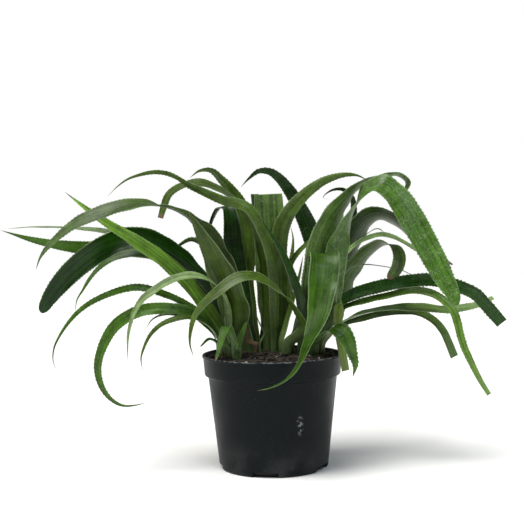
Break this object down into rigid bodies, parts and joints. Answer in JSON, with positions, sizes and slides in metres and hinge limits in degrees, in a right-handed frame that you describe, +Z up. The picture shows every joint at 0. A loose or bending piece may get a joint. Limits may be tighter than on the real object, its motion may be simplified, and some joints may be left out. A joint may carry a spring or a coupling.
{
  "type": "potted bromeliad",
  "caption": "Clump of arching, toothed strap leaves rising from short crowns in a round tapered nursery pot filled with bark potting mix.",
  "frame": {"origin": "centre of the pot's underside, on the surface that it stands on", "axes": "+Z up along the pot's axis, +X to the right and -Y towards the viewer of the plant's front"},
  "size_m": [0.6097, 0.313, 0.3631],
  "materials": {
    "pot_plastic": "black polypropylene with a soft sheen, light scuffs and dried water marks",
    "potting_mix": "damp peat with bark chips, fine roots and pale grains",
    "rootstock": "matte, fibrous",
    "leaf_green": "waxy, with fine lengthways lines and faint silver scales",
    "leaf_dark": "waxy, deep green, in shade",
    "leaf_olive": "waxy, olive, with fine lengthways lines",
    "leaf_bright": "waxy, fresh green",
    "leaf_silver": "satin, with a silver bloom of fine scales",
    "leaf_pale": "satin, pale underside",
    "leaf_yellow": "satin, ageing leaf",
    "leaf_dry": "dry and papery"
  },
  "bodies": {
    "root": {"pot": "pot_plastic", "potting_mix": "potting_mix", "rootstock": "rootstock", "left_upright_pointed": "leaf_olive", "left_long_straight": "leaf_bright", "left_pale_drooping": "leaf_pale", "left_low_arch": "leaf_green", "left_curled_arch": "leaf_green", "left_thin_front_arch": "leaf_olive", "left_blunt_dark": "leaf_dark", "left_far_reaching": "leaf_green", "left_far_pale": "leaf_pale", "left_inner_droop": "leaf_green", "left_short_thin_arch": "leaf_dark", "left_back_bowed": "leaf_olive", "left_silver_arch": "leaf_silver", "left_folded_upright": "leaf_dark", "left_top_pale_tip": "leaf_olive", "back_left_arch": "leaf_green", "back_left_short": "leaf_green", "left_dry_stub": "leaf_dry", "centre_broad_arch": "leaf_olive", "centre_top_thin_arch": "leaf_olive", "centre_cut_left": "leaf_green", "centre_cut_middle": "leaf_silver", "centre_cut_right": "leaf_green", "centre_cut_short": "leaf_silver", "centre_right_reaching": "leaf_olive", "centre_back_olive": "leaf_olive", "centre_yellowing": "leaf_yellow", "back_centre_arch": "leaf_green", "right_broad_rising": "leaf_silver", "right_great_arch": "leaf_green", "front_folded": "leaf_green", "front_dark_spear": "leaf_dark", "front_low_arch": "leaf_olive", "inner_olive_sheath": "leaf_olive", "inner_green_sheath": "leaf_green", "right_dark_cut": "leaf_dark", "right_long_hanging": "leaf_bright", "right_level_silver": "leaf_silver", "right_pale_thin_arch": "leaf_pale", "right_low_serrated": "leaf_green", "right_low_cut": "leaf_yellow", "right_back_top_arch": "leaf_dark", "right_back_curled": "leaf_dark", "right_dark_arch": "leaf_green", "right_blue_folded": "leaf_silver", "right_thin_dark_line": "leaf_dark", "right_low_hanging_cut": "leaf_silver", "back_right_arch": "leaf_green", "back_right_low": "leaf_green", "pup_left_hook": "leaf_green", "pup_front_drooping": "leaf_green", "pup_pale_tip": "leaf_pale", "pup_right_serrated": "leaf_green", "pup_front_sheath": "leaf_silver", "centre_pup_spear": "leaf_dark"}
  },
  "joints": []
}
